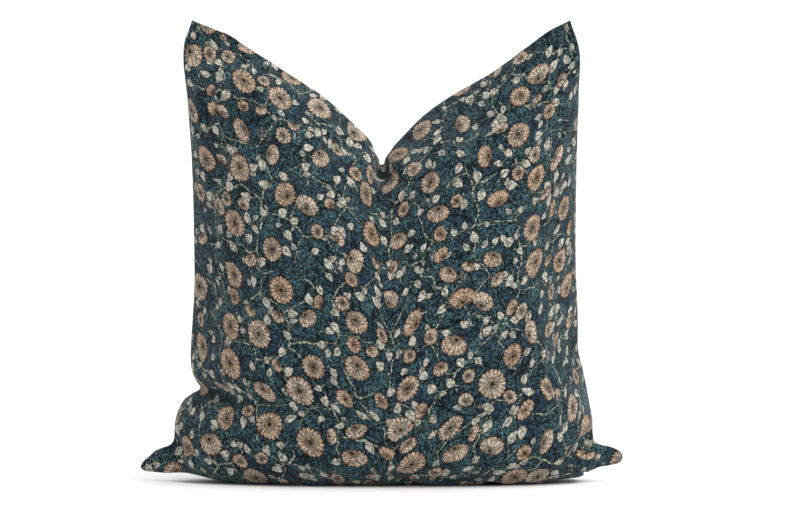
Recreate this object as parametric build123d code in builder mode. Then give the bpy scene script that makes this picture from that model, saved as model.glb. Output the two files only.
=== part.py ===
"""Throw pillow: a square linen cover with a hidden zip in its bottom seam, and the stuffed insert inside.

Millimetres, +Z up, front towards -Y. The origin is on the floor, under the middle of the pillow,
which stands on its bottom edge. Its top edge is pressed down into a V between two pointed ears.
"""
import os
from math import exp, hypot

from build123d import *

os.makedirs("parts", exist_ok=True)

# Outer form of the stuffed cover
HALF_DEPTH = 80.0         # crown of each face, from the seam's plane
WAIST = 198.0             # half of the width between the side seams
EAR_REACH = 54.0          # how far a bottom ear's tip reaches past the waist
EAR_TIP_HEIGHT = 14.0
EAR_SPREAD = 26.0
EAR_FLATNESS = 45.0       # height over which the bottom ears' flatness fades out
TOP_HALF = 197.0          # half of the distance between the tips of the top ears
TOP_HEIGHT = 479.0
VALLEY_HEIGHT = 328.0     # seam in the middle of the V
VALLEY_ROUNDING = 0.03
VALLEY_POWER = 0.6
CROWN_AXIS_HEIGHT = 235.0  # the top edge is rounded from front to back about this line
TOP_STEEPNESS = 1.3       # drop of the sloping top edge for each millimetre of inset
REACH = 260.0             # further out than any part of the pillow
GROOVE = 9.0              # height and half of the width of the fold along the bottom seam

# Height of a level section, and its depth as a share of HALF_DEPTH
LEVELS = (
    (0.0, 0.58),
    (14.0, 0.74),
    (28.0, 0.83),
    (42.0, 0.89),
    (60.0, 0.94),
    (80.0, 0.97),
    (105.0, 0.99),
    (135.0, 1.00),
    (170.0, 0.99),
    (215.0, 0.955),
    (270.0, 0.84),
    (330.0, 0.65),
    (390.0, 0.43),
    (440.0, 0.24),
    (484.0, 0.05),
)
# A section's edge, high up and at the bottom ears: how square it is, and how blunt
SIDE_SQUARENESS = 2.8
EAR_SQUARENESS = 2.0
SIDE_TAPER = 0.62
EAR_TAPER = 1.12
SECTION_STATIONS = (0.25, 0.50, 0.70, 0.85, 0.95)
TOP_STATIONS = (14.0, 33.0, 65.0, 110.0, 154.0, TOP_HALF, REACH)

# Layers, from the outside in: how far each stays inside the outer form
LINEN = 0.8
LINEN_SEAM_INSET = 1.2
LABEL_INSET = 2.0
LABEL_CROWN = 1.4
LABEL_THICK = 0.4
INSERT_INSET = 14.0       # clear of the cover's seam allowances
INSERT_CROWN = 2.4
INSERT_GROOVE = 30.0      # clear of the zip
TICKING = 0.5
TICKING_SEAM_INSET = 0.7
FILLING_GAP = 1.4

# Seams
SEAM_GAP = 0.5            # half of the gap between the cover's panels
TICKING_SEAM_GAP = 0.25   # half of the gap between the insert's panels
ALLOWANCE = 10.0
ALLOWANCE_INSET = 0.6
THREAD = 0.5
OVERLOCK_WIDTH = 0.6
OVERLOCK_DEPTH = 2.4
STITCH_LENGTH = 2.2
STITCH_PITCH = 3.2

# Hidden zip, along X in the bottom seam. NEAR sizes are distances from the middle plane.
ZIP_HALF = 203.0
SLIT_HALF = 0.9
TAPE_HALF = 215.0
TAPE_THICK = 0.3
TAPE_NEAR = 3.8
TAPE_TOP = 24.0
FOOT_NEAR = 0.75
FOOT_BASE = 10.1
COIL_HALF = 198.0
COIL_NEAR = 0.7
COIL_WIDTH = 1.5
COIL_BASE = 10.5
COIL_HEIGHT = 2.0
ZIP_ALLOWANCE_NEAR = 4.4
ZIP_ALLOWANCE_BASE = 5.0
ZIP_ALLOWANCE_TOP = 22.0
STITCH_HEIGHT = 15.0
STOP_LENGTH = 2.2
STOP_GAP = 0.3

# Slider and pull tab, with the zip closed
SLIDER_X = 191.0
SLIDER_LENGTH = 12.0
SLIDER_WALL_NEAR = 2.6
SLIDER_WALL = 0.8
SLIDER_WALL_BASE = 10.8
SLIDER_PLATE_BASE = 12.9
SLIDER_TOP = 14.0
NECK_LENGTH = 3.0
NECK_THICK = 0.8
PIN_HEIGHT = 5.0
PIN_RADIUS = 0.5
PIN_LENGTH = 3.8
TAB_LENGTH = 24.0
TAB_WIDTH = 4.0
TAB_THICK = 1.2
TAB_EYE_RADIUS = 0.75
TAB_EYE_OUTER = 1.3
TAB_FORK_GAP = 1.6
TAB_FORK_DEPTH = 2.6
TAB_WINDOW_LENGTH = 9.0
TAB_WINDOW_WIDTH = 2.0

# Labels, inside the cover's back: left and right edges, low and high edges
CARE_LABEL = (-186.0, -146.0, 118.0, 148.0)
INSERT_LABEL = (110.0, 150.0, 96.0, 136.0)


def half_width(height, inset):
    """Half of the width between the side seams at a height."""
    return WAIST + EAR_REACH * exp(-(((height - EAR_TIP_HEIGHT) / EAR_SPREAD) ** 2)) - inset


def top_height(across, inset):
    """Height of the top seam at a distance from the middle."""
    rise = hypot(across / TOP_HALF, VALLEY_ROUNDING) ** VALLEY_POWER
    return VALLEY_HEIGHT + (TOP_HEIGHT - VALLEY_HEIGHT) * rise - TOP_STEEPNESS * inset


def top_line(inset):
    """Points along the top seam, from -REACH to REACH."""
    right = [(x, top_height(x, inset)) for x in TOP_STATIONS]
    left = [(-x, z) for x, z in reversed(right)]
    return [*left, (0, top_height(0, inset)), *right]


def section_line(height, share, inset, crown):
    """Points along the front of a level section, from one side seam to the other."""
    width = half_width(height, inset)
    depth = (HALF_DEPTH - crown) * share
    flatness = exp(-((height / EAR_FLATNESS) ** 2))
    squareness = SIDE_SQUARENESS + (EAR_SQUARENESS - SIDE_SQUARENESS) * flatness
    taper = SIDE_TAPER + (EAR_TAPER - SIDE_TAPER) * flatness
    right = [(u * width, depth * (1 - u**squareness) ** taper) for u in SECTION_STATIONS]
    left = [(-x, y) for x, y in reversed(right)]
    return [(-width, 0), *left, (0, depth), *right, (width, 0)]


def space_under_top(inset):
    """Everything under the V-shaped top edge, which is crowned from front to back."""
    line = top_line(inset)
    with BuildPart() as space:
        with BuildSketch(Plane.XZ):
            with BuildLine():
                Spline(*line)
                Polyline(line[-1], (REACH, CROWN_AXIS_HEIGHT), (-REACH, CROWN_AXIS_HEIGHT), line[0])
            make_face()
        revolve(axis=Axis((0, 0, CROWN_AXIS_HEIGHT), (1, 0, 0)))
        with Locations((0, 0, CROWN_AXIS_HEIGHT)):
            Box(2 * REACH, 2 * REACH, 2 * CROWN_AXIS_HEIGHT, align=(Align.CENTER, Align.CENTER, Align.MAX))
    return space.part


def cushion_form(inset, crown, groove):
    """Closed cushion form, inside the outer one by inset at the seams and by crown on its faces."""
    with BuildPart() as form:
        for height, share in LEVELS:
            with BuildSketch(Plane.XY.offset(height)):
                with BuildLine():
                    Spline(*section_line(height, share, inset, crown))
                    mirror(about=Plane.XZ)
                make_face()
        loft()
        add(space_under_top(inset), mode=Mode.INTERSECT)
        split(bisect_by=Plane.XY.offset(crown), keep=Keep.TOP)
        with BuildSketch(Plane.YZ.offset(-REACH)):
            with BuildLine():
                Polyline((-groove, crown), (0, groove), (groove, crown), close=True)
            make_face()
        extrude(amount=2 * REACH, mode=Mode.SUBTRACT)
    return form.part


def seam_outline(inset, bottom):
    """Area inside the seam line, in the middle plane, above the bottom seam."""
    heights = [bottom] + [height for height, share in LEVELS if height > bottom]
    side = [(half_width(height, inset), height) for height in heights]
    line = top_line(inset)
    with BuildSketch(Plane.XZ) as outline:
        with BuildLine():
            Spline(*side)
            mirror(about=Plane.YZ)
            Line(side[0], (-side[0][0], side[0][1]))
            Line(side[-1], (-side[-1][0], side[-1][1]))
        make_face()
        with BuildLine():
            Spline(*line)
            Polyline(line[-1], (REACH, 0), (-REACH, 0), line[0])
        make_face(mode=Mode.INTERSECT)
    return outline.sketch


def seam_band(inset, width, fold=GROOVE):
    """Band of a width, inset from the seam line of a form whose bottom seam is at height fold."""
    with BuildSketch(Plane.XZ) as band:
        add(seam_outline(inset, fold + inset))
        add(seam_outline(inset + width, fold + inset + width), mode=Mode.SUBTRACT)
    return band.sketch


def clear_zip(reach):
    """Remove what would cross the zip opening, out to reach on both sides of the middle plane."""
    with Locations((0, 0, GROOVE)):
        Box(
            2 * ZIP_HALF,
            2 * reach,
            TAPE_TOP,
            align=(Align.CENTER, Align.CENTER, Align.MIN),
            mode=Mode.SUBTRACT,
        )


def cover_seam_thread():
    """Line of thread round the cover's seam, open along the zip."""
    with BuildPart() as thread:
        extrude(seam_band(LINEN_SEAM_INSET + SEAM_GAP, THREAD), amount=THREAD / 2, both=True)
        clear_zip(THREAD)
    return thread.part


def insert_seam_thread():
    """Line of thread round the insert's seam."""
    with BuildPart() as thread:
        extrude(
            seam_band(INSERT_INSET, THREAD, INSERT_GROOVE - INSERT_INSET),
            amount=THREAD / 2,
            both=True,
        )
    return thread.part


def finish(piece, name):
    """Name a piece and write it."""
    piece.label = name
    export_step(piece, f"parts/{name}.step")


def finish_pair(piece, name):
    """Write a front piece, and its mirror image as the back one."""
    finish(piece, f"{name}_front")
    finish(piece.mirror(Plane.XZ), f"{name}_back")


def cover_panel(outer):
    """Front linen panel, with its seam allowances turned to the inside."""
    with BuildPart() as panel:
        add(outer)
        add(cushion_form(LINEN_SEAM_INSET, LINEN, GROOVE + LINEN_SEAM_INSET), mode=Mode.SUBTRACT)
        extrude(seam_band(ALLOWANCE_INSET, ALLOWANCE), amount=SEAM_GAP + LINEN)
        clear_zip(ZIP_ALLOWANCE_NEAR)
        Box(2 * ZIP_HALF, 2 * SLIT_HALF, 4 * GROOVE, mode=Mode.SUBTRACT)
        with Locations((0, -ZIP_ALLOWANCE_NEAR, ZIP_ALLOWANCE_BASE)):
            Box(
                2 * ZIP_HALF,
                LINEN,
                ZIP_ALLOWANCE_TOP - ZIP_ALLOWANCE_BASE,
                align=(Align.CENTER, Align.MAX, Align.MIN),
            )
        add(outer, mode=Mode.INTERSECT)
        split(bisect_by=Plane.XZ.offset(SEAM_GAP), keep=Keep.TOP)
    return panel.part


def overlock():
    """Thread that binds the raw edges of the two seam allowances together."""
    with BuildPart() as thread:
        edge = ALLOWANCE_INSET + ALLOWANCE + SEAM_GAP
        extrude(seam_band(edge, OVERLOCK_WIDTH), amount=OVERLOCK_DEPTH / 2, both=True)
        clear_zip(OVERLOCK_DEPTH)
    return thread.part


def insert_shell(insert):
    """Front panel of the insert's ticking."""
    seam_inset = INSERT_INSET + TICKING_SEAM_INSET
    with BuildPart() as shell:
        add(insert)
        add(
            cushion_form(seam_inset, INSERT_CROWN + TICKING, INSERT_GROOVE + TICKING_SEAM_INSET),
            mode=Mode.SUBTRACT,
        )
        split(bisect_by=Plane.XZ.offset(TICKING_SEAM_GAP), keep=Keep.TOP)
    return shell.part


def filling():
    """Stuffing, just inside the ticking."""
    inset = INSERT_INSET + TICKING_SEAM_INSET + FILLING_GAP
    groove = INSERT_GROOVE + TICKING_SEAM_INSET + FILLING_GAP
    return cushion_form(inset, INSERT_CROWN + TICKING + FILLING_GAP, groove)


def label_sheet():
    """Thin sheet that follows the inside of the cover, from which the labels are cut."""
    with BuildPart() as sheet:
        add(cushion_form(LABEL_INSET, LABEL_CROWN, GROOVE + LABEL_INSET))
        add(
            cushion_form(LABEL_INSET + LABEL_THICK, LABEL_CROWN + LABEL_THICK, GROOVE + LABEL_INSET),
            mode=Mode.SUBTRACT,
        )
    return sheet.part


def label(sheet, window):
    """Label cut from the back of the sheet."""
    left, right, low, high = window
    with BuildPart() as piece:
        add(sheet)
        with Locations((left, 0, low)):
            Box(
                right - left,
                HALF_DEPTH + LINEN,
                high - low,
                align=(Align.MIN, Align.MIN, Align.MIN),
                mode=Mode.INTERSECT,
            )
    return piece.part


def zip_tape():
    """Front tape: an upright leg against the seam allowance and a foot folded under the coil."""
    with BuildPart() as tape:
        with Locations((0, -TAPE_NEAR, FOOT_BASE)):
            Box(
                2 * TAPE_HALF,
                TAPE_THICK,
                TAPE_TOP - FOOT_BASE,
                align=(Align.CENTER, Align.MAX, Align.MIN),
            )
        with Locations((0, -FOOT_NEAR, FOOT_BASE)):
            Box(
                2 * COIL_HALF,
                TAPE_NEAR - FOOT_NEAR,
                TAPE_THICK,
                align=(Align.CENTER, Align.MAX, Align.MIN),
            )
    return tape.part


def zip_coil():
    """Front row of the nylon coil."""
    with BuildPart() as coil:
        with BuildSketch(Plane.YZ):
            with Locations((-COIL_NEAR, COIL_BASE)):
                RectangleRounded(COIL_WIDTH, COIL_HEIGHT, COIL_WIDTH / 3, align=(Align.MAX, Align.MIN))
        extrude(amount=COIL_HALF, both=True)
    return coil.part


def zip_stitching():
    """Row of stitches that holds the front tape to its seam allowance."""
    with BuildPart() as row:
        with Locations((0, -ZIP_ALLOWANCE_NEAR - LINEN - THREAD, STITCH_HEIGHT)):
            with GridLocations(STITCH_PITCH, 0, int(2 * ZIP_HALF / STITCH_PITCH), 1):
                Box(STITCH_LENGTH, THREAD, THREAD)
    return row.part


def top_stops():
    """Pair of stops at the closed end, one on each row of the coil."""
    with BuildPart() as stops:
        with Locations((COIL_HALF + STOP_GAP, 0, COIL_BASE)):
            Box(
                STOP_LENGTH,
                2 * (COIL_NEAR + COIL_WIDTH),
                COIL_HEIGHT,
                align=(Align.MIN, Align.CENTER, Align.MIN),
            )
            Box(
                STOP_LENGTH,
                2 * COIL_NEAR,
                COIL_HEIGHT,
                align=(Align.MIN, Align.CENTER, Align.MIN),
                mode=Mode.SUBTRACT,
            )
        fillet(stops.edges().filter_by(Axis.X), radius=THREAD)
    return stops.part


def bottom_stop():
    """Stop at the open end, clamped across both rows."""
    with BuildPart() as stop:
        with Locations((-COIL_HALF - STOP_GAP, 0, COIL_BASE)):
            Box(
                STOP_LENGTH,
                2 * (COIL_NEAR + COIL_WIDTH),
                COIL_HEIGHT,
                align=(Align.MAX, Align.CENTER, Align.MIN),
            )
        fillet(stop.edges().filter_by(Axis.X), radius=THREAD)
    return stop.part


def zip_slider():
    """Slider round the coil, with a neck through the slit and the pull tab's pin below it."""
    far = SLIDER_WALL_NEAR + SLIDER_WALL
    with BuildPart() as slider:
        with BuildSketch(Plane.YZ.offset(SLIDER_X)):
            with BuildLine():
                Polyline(
                    (SLIDER_WALL_NEAR, SLIDER_WALL_BASE),
                    (SLIDER_WALL_NEAR, SLIDER_PLATE_BASE),
                    (0, SLIDER_PLATE_BASE),
                )
                Polyline(
                    (SLIDER_WALL_NEAR, SLIDER_WALL_BASE),
                    (far, SLIDER_WALL_BASE),
                    (far, SLIDER_TOP),
                    (0, SLIDER_TOP),
                )
                mirror(about=Plane.YZ)
            make_face()
        extrude(amount=SLIDER_LENGTH / 2, both=True)
        fillet(slider.edges().filter_by(Axis.X).group_by(Axis.Z)[-1], radius=SLIDER_WALL / 2)
        with Locations((SLIDER_X, 0, PIN_HEIGHT)):
            Box(
                NECK_LENGTH,
                NECK_THICK,
                SLIDER_TOP - SLIDER_WALL - PIN_HEIGHT,
                align=(Align.CENTER, Align.CENTER, Align.MIN),
            )
        with BuildSketch(Plane.XZ):
            with Locations((SLIDER_X, PIN_HEIGHT)):
                Circle(NECK_LENGTH / 2)
        extrude(amount=NECK_THICK / 2, both=True)
        with BuildSketch(Plane.XZ):
            with Locations((SLIDER_X, PIN_HEIGHT)):
                Circle(PIN_RADIUS)
        extrude(amount=PIN_LENGTH / 2, both=True)
    return slider.part


def zip_pull_tab():
    """Forked pull tab, lying flat in the fold under the closed zip."""
    with BuildPart() as tab:
        with BuildSketch(Plane.XY.offset(PIN_HEIGHT)):
            with Locations((SLIDER_X, 0)):
                Rectangle(TAB_LENGTH, TAB_WIDTH, align=(Align.MAX, Align.CENTER))
            fillet(vertices().group_by(Axis.X)[0], radius=TAB_WIDTH / 3)
            with Locations((SLIDER_X - TAB_LENGTH / 2 - TAB_FORK_DEPTH, 0)):
                SlotOverall(TAB_WINDOW_LENGTH, TAB_WINDOW_WIDTH, mode=Mode.SUBTRACT)
        extrude(amount=TAB_THICK / 2, both=True)
        with BuildSketch(Plane.XZ):
            with Locations((SLIDER_X, PIN_HEIGHT)):
                Circle(TAB_EYE_OUTER)
        extrude(amount=TAB_WIDTH / 2, both=True)
        with Locations((SLIDER_X, 0, PIN_HEIGHT)):
            Box(2 * TAB_FORK_DEPTH, TAB_FORK_GAP, 2 * TAB_FORK_DEPTH, mode=Mode.SUBTRACT)
        with BuildSketch(Plane.XZ):
            with Locations((SLIDER_X, PIN_HEIGHT)):
                Circle(TAB_EYE_RADIUS)
        extrude(amount=TAB_WIDTH, both=True, mode=Mode.SUBTRACT)
    return tab.part


outer_form = cushion_form(0, 0, GROOVE)
front_panel = cover_panel(outer_form)
finish(front_panel, "cover_front_panel")
finish(front_panel.mirror(Plane.XZ), "cover_back_panel")
finish(cover_seam_thread(), "cover_seam_thread")
finish(overlock(), "cover_overlock_thread")

insert_form = cushion_form(INSERT_INSET, INSERT_CROWN, INSERT_GROOVE)
front_ticking = insert_shell(insert_form)
finish(front_ticking, "insert_front_panel")
finish(front_ticking.mirror(Plane.XZ), "insert_back_panel")
finish(insert_seam_thread(), "insert_seam_thread")
finish(filling(), "insert_filling")

label_layer = label_sheet()
finish(label(label_layer, CARE_LABEL), "cover_care_label")
finish(label(label_layer, INSERT_LABEL), "insert_label")

finish_pair(zip_tape(), "zip_tape")
finish_pair(zip_coil(), "zip_coil")
finish_pair(zip_stitching(), "zip_stitching")
finish(top_stops(), "zip_top_stops")
finish(bottom_stop(), "zip_bottom_stop")
finish(zip_slider(), "zip_slider")
finish(zip_pull_tab(), "zip_pull_tab")
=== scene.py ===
"""Looks of the throw pillow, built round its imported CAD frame. Metres, +Z up, front towards -Y."""
import math

import bpy
import numpy as np
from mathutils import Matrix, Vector


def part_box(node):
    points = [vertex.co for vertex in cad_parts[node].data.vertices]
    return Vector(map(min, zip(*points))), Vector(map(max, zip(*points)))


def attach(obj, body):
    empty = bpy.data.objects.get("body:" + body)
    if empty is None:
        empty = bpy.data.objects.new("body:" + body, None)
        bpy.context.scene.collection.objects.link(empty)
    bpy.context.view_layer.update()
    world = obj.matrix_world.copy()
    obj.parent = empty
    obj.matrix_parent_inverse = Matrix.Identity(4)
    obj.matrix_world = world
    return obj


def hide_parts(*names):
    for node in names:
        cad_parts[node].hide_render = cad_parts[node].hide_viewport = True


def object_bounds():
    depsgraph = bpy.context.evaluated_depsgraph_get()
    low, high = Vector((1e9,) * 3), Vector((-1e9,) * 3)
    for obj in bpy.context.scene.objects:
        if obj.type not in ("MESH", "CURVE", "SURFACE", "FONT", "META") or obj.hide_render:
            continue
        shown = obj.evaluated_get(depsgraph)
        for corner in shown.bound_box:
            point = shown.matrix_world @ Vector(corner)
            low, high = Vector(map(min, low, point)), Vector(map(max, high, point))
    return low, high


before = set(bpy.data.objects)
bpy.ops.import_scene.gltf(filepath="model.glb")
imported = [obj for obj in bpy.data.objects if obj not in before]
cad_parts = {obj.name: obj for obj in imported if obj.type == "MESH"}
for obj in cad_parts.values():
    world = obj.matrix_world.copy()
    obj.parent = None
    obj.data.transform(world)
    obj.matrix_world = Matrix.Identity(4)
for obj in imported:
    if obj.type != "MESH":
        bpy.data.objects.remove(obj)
CAD_BOX = [list(corner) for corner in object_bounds()]

MM = 0.001
LOW, HIGH = (Vector(corner) for corner in CAD_BOX)
HALF_WIDTH = (HIGH.x - LOW.x) / 2
HALF_DEPTH = (HIGH.y - LOW.y) / 2
HEIGHT = HIGH.z - LOW.z

# Form of the cover. Places on the seam are shares of the half width and of the height.
CELLS = 104
BOTTOM_SEAM = 0.019 * HEIGHT
LEFT_SIDE = (
    (-1.000, 0.030), (-0.990, 0.044), (-0.960, 0.057), (-0.933, 0.070), (-0.898, 0.076), (-0.862, 0.086),
    (-0.856, 0.120), (-0.844, 0.150), (-0.818, 0.177), (-0.779, 0.193), (-0.744, 0.202), (-0.772, 0.222),
    (-0.790, 0.275), (-0.775, 0.440), (-0.783, 0.670), (-0.800, 0.810), (-0.818, 0.935), (-0.783, 1.000),
)
RIGHT_SIDE = (
    (1.000, 0.052), (0.996, 0.062), (0.974, 0.071), (0.939, 0.078), (0.903, 0.081), (0.876, 0.092),
    (0.873, 0.122), (0.857, 0.176), (0.838, 0.230), (0.814, 0.285), (0.813, 0.340), (0.809, 0.400),
    (0.803, 0.500), (0.806, 0.670), (0.815, 0.840), (0.818, 0.930), (0.780, 1.000),
)
TOP_SIDE = (
    (-0.783, 1.000), (-0.642, 0.970), (-0.540, 0.937), (-0.437, 0.902), (-0.334, 0.867), (-0.232, 0.831),
    (-0.113, 0.774), (-0.046, 0.738), (-0.030, 0.715), (0.000, 0.683), (0.026, 0.707), (0.056, 0.730),
    (0.105, 0.758), (0.180, 0.796), (0.281, 0.834), (0.384, 0.864), (0.486, 0.897), (0.589, 0.938),
    (0.691, 0.977), (0.780, 1.000),
)
BOTTOM_SIDE = (
    (-1.000, 0.030), (-0.983, 0.021), (-0.943, 0.019), (-0.876, 0.017), (-0.700, 0.019), (0.700, 0.019),
    (0.814, 0.019), (0.868, 0.023), (0.895, 0.030), (0.939, 0.033), (0.984, 0.038), (1.000, 0.052),
)
# Creases of the front, each by its depth, its width and its line
CREASES = (
    (6 * MM, 7 * MM, ((0.012, 0.668), (0.035, 0.655), (0.070, 0.648), (0.120, 0.640))),
    (4 * MM, 8 * MM, ((-0.010, 0.660), (-0.040, 0.620), (-0.080, 0.580), (-0.130, 0.540))),
    (6 * MM, 7 * MM, ((-0.725, 0.203), (-0.690, 0.200), (-0.620, 0.185), (-0.540, 0.170))),
    (6 * MM, 6 * MM, ((-0.865, 0.088), (-0.840, 0.070), (-0.845, 0.050), (-0.800, 0.030))),
    (10 * MM, 7 * MM, ((0.855, 0.095), (0.825, 0.075), (0.790, 0.050), (0.740, 0.030))),
    (4 * MM, 16 * MM, ((-0.780, 0.430), (-0.700, 0.420), (-0.600, 0.440), (-0.480, 0.470))),
    (4 * MM, 16 * MM, ((0.800, 0.300), (0.720, 0.330), (0.600, 0.350), (0.480, 0.360))),
    (3 * MM, 12 * MM, ((0.150, 0.740), (0.200, 0.660), (0.260, 0.580), (0.300, 0.500))),
    (3 * MM, 12 * MM, ((-0.160, 0.720), (-0.220, 0.640), (-0.300, 0.570), (-0.400, 0.500))),
)
# Middle of a face, from the bottom seam to the top one: share of the depth, share of the height
PROFILE = (
    (0.00, 0.027), (0.12, 0.010), (0.28, -0.004), (0.45, -0.008), (0.62, 0.002), (0.78, 0.030),
    (0.90, 0.085), (0.97, 0.180), (1.00, 0.320), (0.98, 0.480), (0.93, 0.640), (0.80, 0.780),
    (0.60, 0.890), (0.33, 0.965), (0.00, 1.000),
)

ZIP_REACH = 203 * MM      # half of the zip's opening
SLIT = 0.9 * MM           # half of the gap along the zip
ZIP_CLEAR = 34 * MM       # the inner cushion stays above this
EDGE_ROUND = 0.8 * MM     # half of the thickness of the folded edge
CREASE_FADE = 9 * MM      # creases fade out over this from the seam
LIP = 1.5 * MM            # how far the edge turns in at the seam
LINEN = 0.8 * MM
TICKING = 0.5 * MM
INSERT_EAR = 0.68         # past this share of the half width the inner cushion is held back
INSERT_SQUEEZE = 16 * MM  # from the cover's bottom ears
INNER_ROUNDING = 42 * MM  # the inner cushion rounds off over this from its seam
ALLOWANCE = 10 * MM       # width of the seam allowances inside
INSERT_INSET = 14 * MM    # the ticking's seam lies this far inside the cover's
INSERT_GAP = LINEN + 1.6 * MM
FILLING_INSET = 16 * MM
FILLING_GAP = LINEN + 3.4 * MM
MIRROR = np.array([1, -1, 1])
BACK_SHIFT = np.array([90, 60])  # the back is cut from another place on the cloth, in millimetres

# How the cover fills out: a pressure cloth simulation, and how far it may move the form
FABRIC_EASE = 0.04
PRESSURE = 4
SIM_FRAMES = 20
MOVE_CAP = 14 * MM
FLOOR_GAP = 0.3 * MM
FOLD_STILL = 8 * MM       # the form keeps its place this near the bottom seam's fold
FOLD_FREE = 40 * MM       # and is free this far away

# Threads, stitches and the zip's coil
THREAD_RADIUS = 0.25 * MM
FINE_THREAD_RADIUS = 0.2 * MM
SEAM_STITCH = 3.2 * MM
INSERT_STITCH = 3.0 * MM
OVERLOCK_STITCH = 1.6 * MM
OVERLOCK_SWING = 0.9 * MM
STITCH_SHARE = 0.7        # share of a stitch's pitch that its thread covers
STITCH_BOW = 0.2 * MM
LABEL_THICKNESS = 0.25 * MM
COIL_PITCH = 1.3 * MM
COIL_WIRE = 0.28 * MM

# Studio
WORLD_FRONT = 0.35
WORLD_BACK = 1.15
OVERHEAD = 2.0
OVERHEAD_SPREAD = math.radians(50)
KEY = 20
KEY_PLACE = (1.7, -1.9, 1.6)
FLOOR_HALF = 6
LENS = 150
AIM = Vector((0.016, 0, 0.225))
CAMERA_DISTANCE = 3.43
CAMERA_ELEVATION = math.radians(1)


def dye(red, green, blue):
    """Linear colour from screen values, 0 to 255."""
    shares = [value / 255 for value in (red, green, blue)]
    linear = [share / 12.92 if share <= 0.04045 else ((share + 0.055) / 1.055) ** 2.4 for share in shares]
    return (*linear, 1.0)


# Dyes and sizes of the print, in millimetres
PETAL_PALE = dye(240, 224, 202)
PETAL_PEACH = dye(224, 186, 152)
PETAL_RIM = dye(186, 118, 78)
RUST = dye(52, 32, 22)
CENTRE_OLIVE = dye(122, 100, 58)
BUD_CREAM = dye(238, 233, 216)
BUD_GREY = dye(210, 210, 198)
LEAF_SAGE = dye(170, 178, 158)
INK = dye(6, 10, 14)
GROUND_TEAL = dye(64, 95, 102)
GROUND_NAVY = dye(36, 56, 74)

FLOWER_SPACING = 50.0
FLOWER_RADIUS = 13.5
SMALL_FLOWER_SPACING = 35.0
SMALL_FLOWER_RADIUS = 8.5
SCROLL_SPACING = 74.0
SCROLL_PITCH = 17.0
THREAD_PITCH = 1.7
# Two sets of buds, each by its spacing, its shift, its size and its dye
BUDS = (
    (25.0, (520.0, 40.0), 5.0, BUD_GREY),
    (19.0, (60.0, 310.0), 6.4, BUD_CREAM),
)


def curve_through(points, amounts):
    """Points at even shares of the length of a smooth curve through a few points."""
    points = np.array(points, dtype=float)
    ends = np.vstack([2 * points[0] - points[1], points, 2 * points[-1] - points[-2]])
    fine = []
    for k in range(1, len(ends) - 2):
        a, b, c, d = ends[k - 1], ends[k], ends[k + 1], ends[k + 2]
        for t in np.linspace(0, 1, 40, endpoint=False):
            bend = (2 * a - 5 * b + 4 * c - d) * t**2
            twist = (3 * b - a - 3 * c + d) * t**3
            fine.append(0.5 * (2 * b + (c - a) * t + bend + twist))
    fine = np.array([*fine, points[-1]])
    length = np.concatenate([[0], np.cumsum(np.linalg.norm(np.diff(fine, axis=0), axis=1))])
    places = np.asarray(amounts) * length[-1]
    return np.stack([np.interp(places, length, column) for column in fine.T], axis=-1)


def smooth_step(low, high, value):
    """0 below low, 1 above high, smooth between."""
    t = np.clip((value - low) / (high - low), 0, 1)
    return t * t * (3 - 2 * t)


def hill(value, centre, width):
    """Smooth bump of height 1."""
    return np.exp(-(((value - centre) / width) ** 2))


def face_grid():
    """Points of the front face, rows from the bottom seam to the top one."""
    across = np.linspace(-1, 1, CELLS + 1)
    up = np.linspace(0, 1, CELLS + 1)
    scale = np.array([HALF_WIDTH, HEIGHT])
    profile = curve_through([(d * HALF_DEPTH, h * HEIGHT) for d, h in PROFILE], up)
    depth_share = profile[:, 0] / HALF_DEPTH
    height_share = (profile[:, 1] / HEIGHT - PROFILE[0][1]) / (1 - PROFILE[0][1])
    s, t = np.meshgrid(across, up)
    # towards the side seams the rows are even, in the middle they follow the profile
    edge = np.abs(s) ** 5
    climb = np.clip(height_share, 0, 1)[:, None] * (1 - edge) + t * edge
    left = curve_through(np.array(LEFT_SIDE) * scale, climb.ravel()).reshape(*climb.shape, 2)
    right = curve_through(np.array(RIGHT_SIDE) * scale, climb.ravel()).reshape(*climb.shape, 2)
    bottom = curve_through(np.array(BOTTOM_SIDE) * scale, (across + 1) / 2)[None, :, :]
    top = curve_through(np.array(TOP_SIDE) * scale, (across + 1) / 2)[None, :, :]
    share = ((s + 1) / 2)[..., None]
    lift = climb[..., None]
    corner = (
        (1 - share) * (1 - lift) * bottom[:, :1]
        + share * (1 - lift) * bottom[:, -1:]
        + (1 - share) * lift * top[:, :1]
        + share * lift * top[:, -1:]
    )
    plane = (1 - share) * left + share * right + (1 - lift) * bottom + lift * top - corner
    full = (1 - np.abs(s) ** 2.8) ** 0.62
    low_part = smooth_step(0.30, 0.0, t)
    full = full * (1 - low_part) + (1 - np.abs(s) ** 2.2) ** 0.95 * low_part
    depth = HALF_DEPTH * depth_share[:, None] * full
    drop = np.minimum(height_share, 0)[:, None] * HEIGHT * full
    x = plane[..., 0]
    z = plane[..., 1] + drop
    return np.stack([x, -depth, z], axis=-1)


def grid_mesh(name, points):
    """Mesh of a grid of points."""
    rows, columns = points.shape[:2]
    index = np.arange(rows * columns).reshape(rows, columns)
    quads = np.stack([index[:-1, :-1], index[:-1, 1:], index[1:, 1:], index[1:, :-1]], axis=-1).reshape(-1, 4)
    mesh = bpy.data.meshes.new(name)
    mesh.from_pydata(points.reshape(-1, 3).tolist(), [], quads.tolist())
    return mesh


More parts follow.
